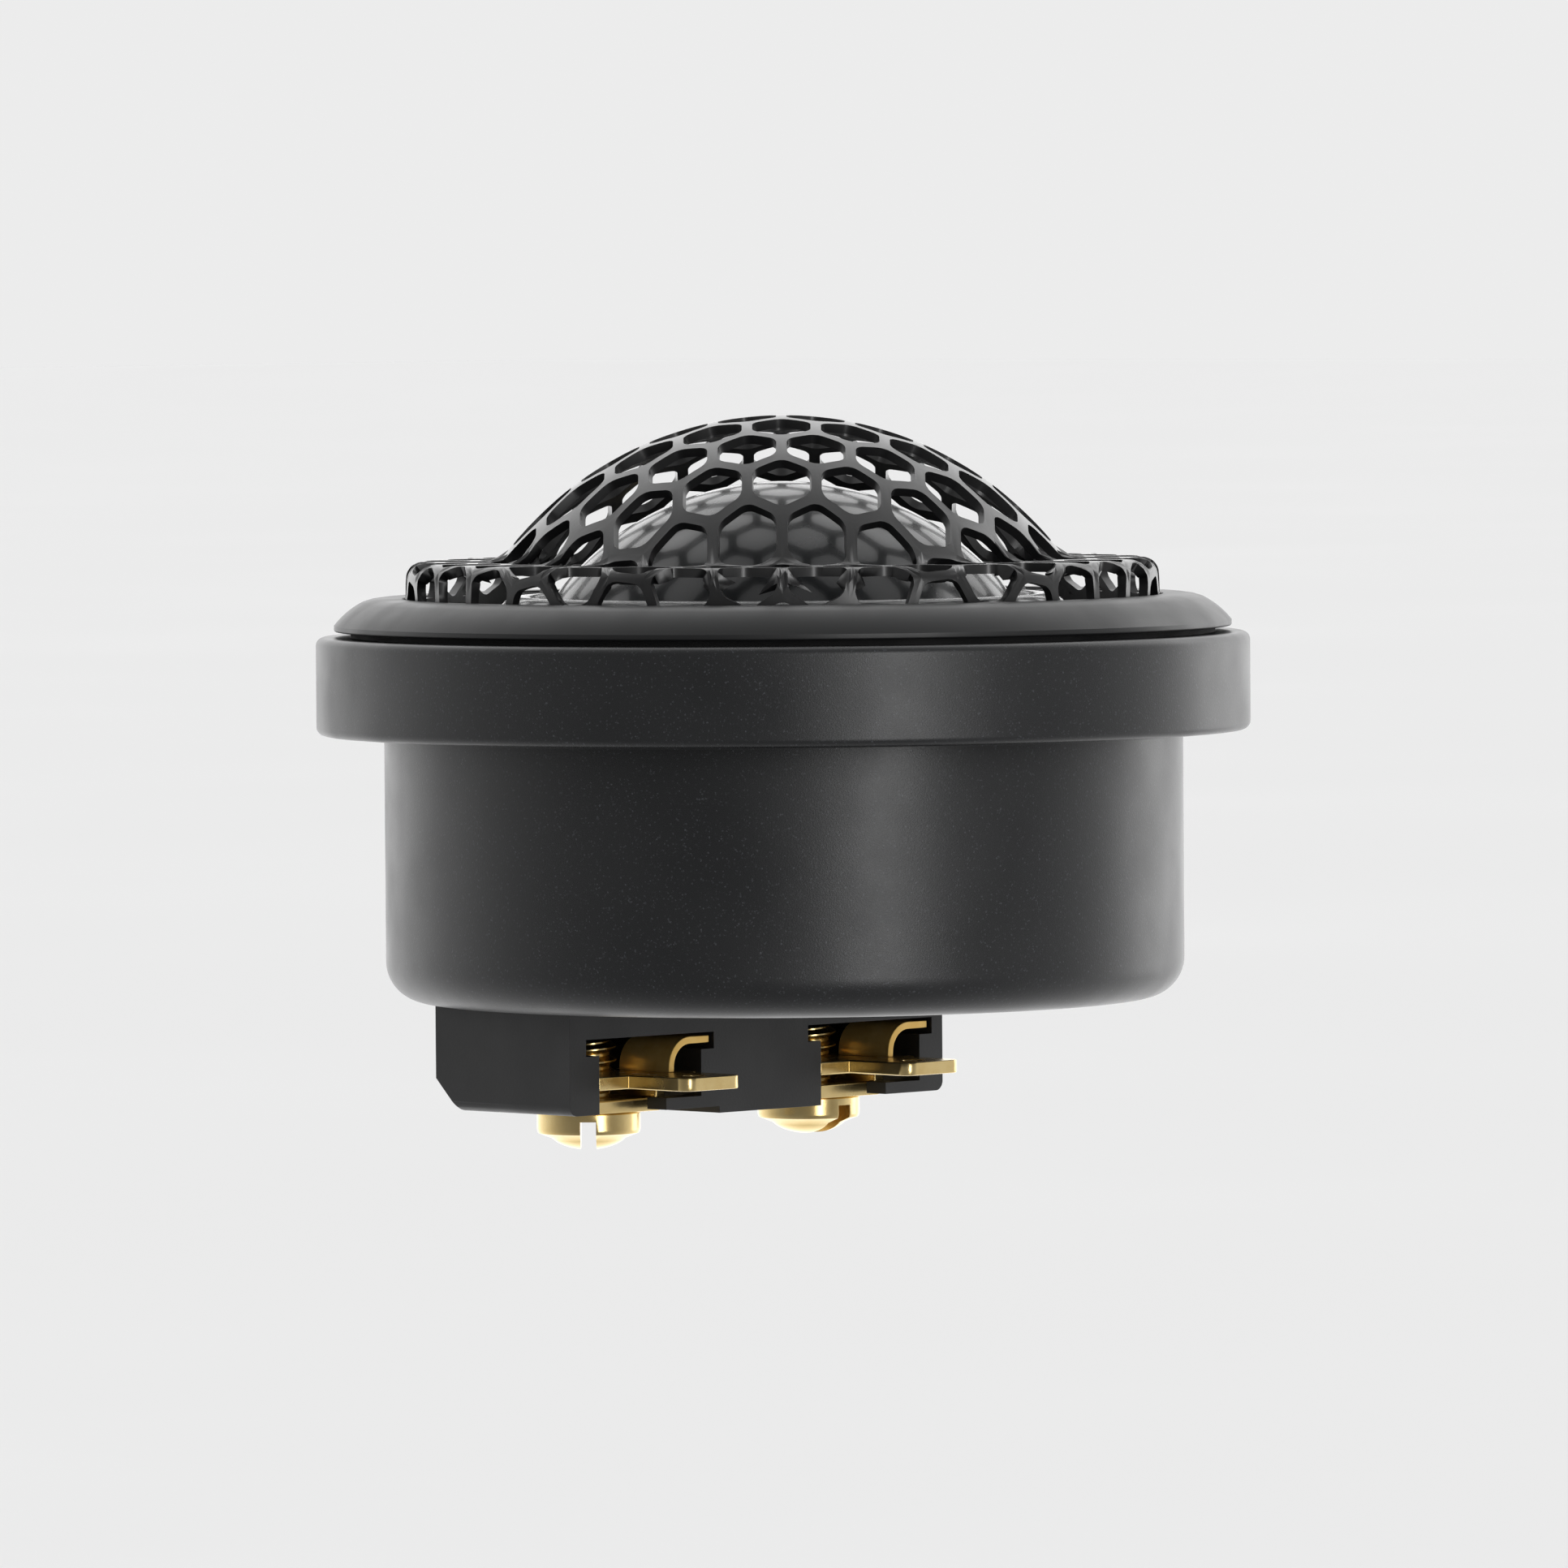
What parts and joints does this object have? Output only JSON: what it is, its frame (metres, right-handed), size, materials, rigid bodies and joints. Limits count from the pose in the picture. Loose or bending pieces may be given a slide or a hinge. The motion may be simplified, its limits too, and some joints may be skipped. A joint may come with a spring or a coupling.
{
  "type": "car tweeter",
  "caption": "Flush-mount dome tweeter with a stepped round housing, a domed hexagonal mesh grille and a rear block of screw terminals with blade tabs.",
  "frame": {"origin": "on the tweeter's axis at the flange's underside, which seats on the panel", "axes": "+Z out through the grille, -Y towards the ends of the blade tabs, +X along the terminal block"},
  "size_m": [0.056, 0.056, 0.0439],
  "materials": {
    "housing_metal": "black powder coat with a fine sparkle, satin",
    "bezel_coat": "dark grey satin paint",
    "grille_paint": "black semi-gloss paint on pressed steel mesh",
    "block_plastic": "moulded black plastic, matte",
    "terminal_brass": "gold-plated brass, bright",
    "dome_fabric": "doped dark fabric",
    "carrier_plastic": "moulded black plastic",
    "soft_iron": "zinc-plated soft iron",
    "magnet_nickel": "nickel-plated neodymium",
    "copper": "bare and lacquered copper",
    "felt": "grey damping felt",
    "seal_foam": "black sealing foam",
    "lead_sleeve": "black insulated lead",
    "fastener_steel": "blackened steel"
  },
  "bodies": {
    "root": {"housing": "housing_metal", "bezel_ring": "bezel_coat", "grille": "grille_paint", "shadow_gap_seal": "seal_foam", "grille_cushion": "seal_foam", "surround": "dome_fabric", "face_ring": "carrier_plastic", "motor_screws": "fastener_steel", "top_plate": "soft_iron", "pole_plate": "soft_iron", "copper_cap": "copper", "magnet": "magnet_nickel", "yoke_cup": "soft_iron", "rear_felt": "felt", "pole_felt": "felt", "terminal_block": "block_plastic", "block_screws": "fastener_steel", "contact_left": "terminal_brass", "wire_guide_left": "terminal_brass", "insulating_bush_left": "carrier_plastic", "lead_left": "lead_sleeve", "lead_pad_left": "terminal_brass", "contact_right": "terminal_brass", "wire_guide_right": "terminal_brass", "insulating_bush_right": "carrier_plastic", "lead_right": "lead_sleeve", "lead_pad_right": "terminal_brass"},
    "dome": {"diaphragm_dome": "dome_fabric", "coil_former": "carrier_plastic", "voice_coil": "copper"},
    "clamp_left": {"clamp_plate_left": "terminal_brass"},
    "screw_left": {"clamp_screw_left": "terminal_brass"},
    "clamp_right": {"clamp_plate_right": "terminal_brass"},
    "screw_right": {"clamp_screw_right": "terminal_brass"}
  },
  "joints": [
    {"name": "dome_stroke", "type": "slide", "parent": "root", "child": "dome", "axis": [0, 0, 1], "range_m": [-0.0003, 0.0003], "stiffness_N_per_m": 150, "deforming": ["surround"]},
    {"name": "clamp_travel_left", "type": "slide", "parent": "root", "child": "clamp_left", "axis": [0, 0, -1], "range_m": [-0.00015, 0.0012]},
    {"name": "screw_turn_left", "type": "hinge", "parent": "clamp_left", "child": "screw_left", "pos_m": [-0.0095, 0.0073, -0.0237], "axis": [0, 0, -1], "range_deg": [-68, 541]},
    {"name": "clamp_travel_right", "type": "slide", "parent": "root", "child": "clamp_right", "axis": [0, 0, -1], "range_m": [-0.00015, 0.0012]},
    {"name": "screw_turn_right", "type": "hinge", "parent": "clamp_right", "child": "screw_right", "pos_m": [0.0095, 0.0073, -0.0237], "axis": [0, 0, -1], "range_deg": [-68, 541]}
  ],
  "couplings": [
    {"joint": "screw_turn_left", "follows": "clamp_travel_left", "rad_per_m": 7854},
    {"joint": "screw_turn_right", "follows": "clamp_travel_right", "rad_per_m": 7854}
  ]
}
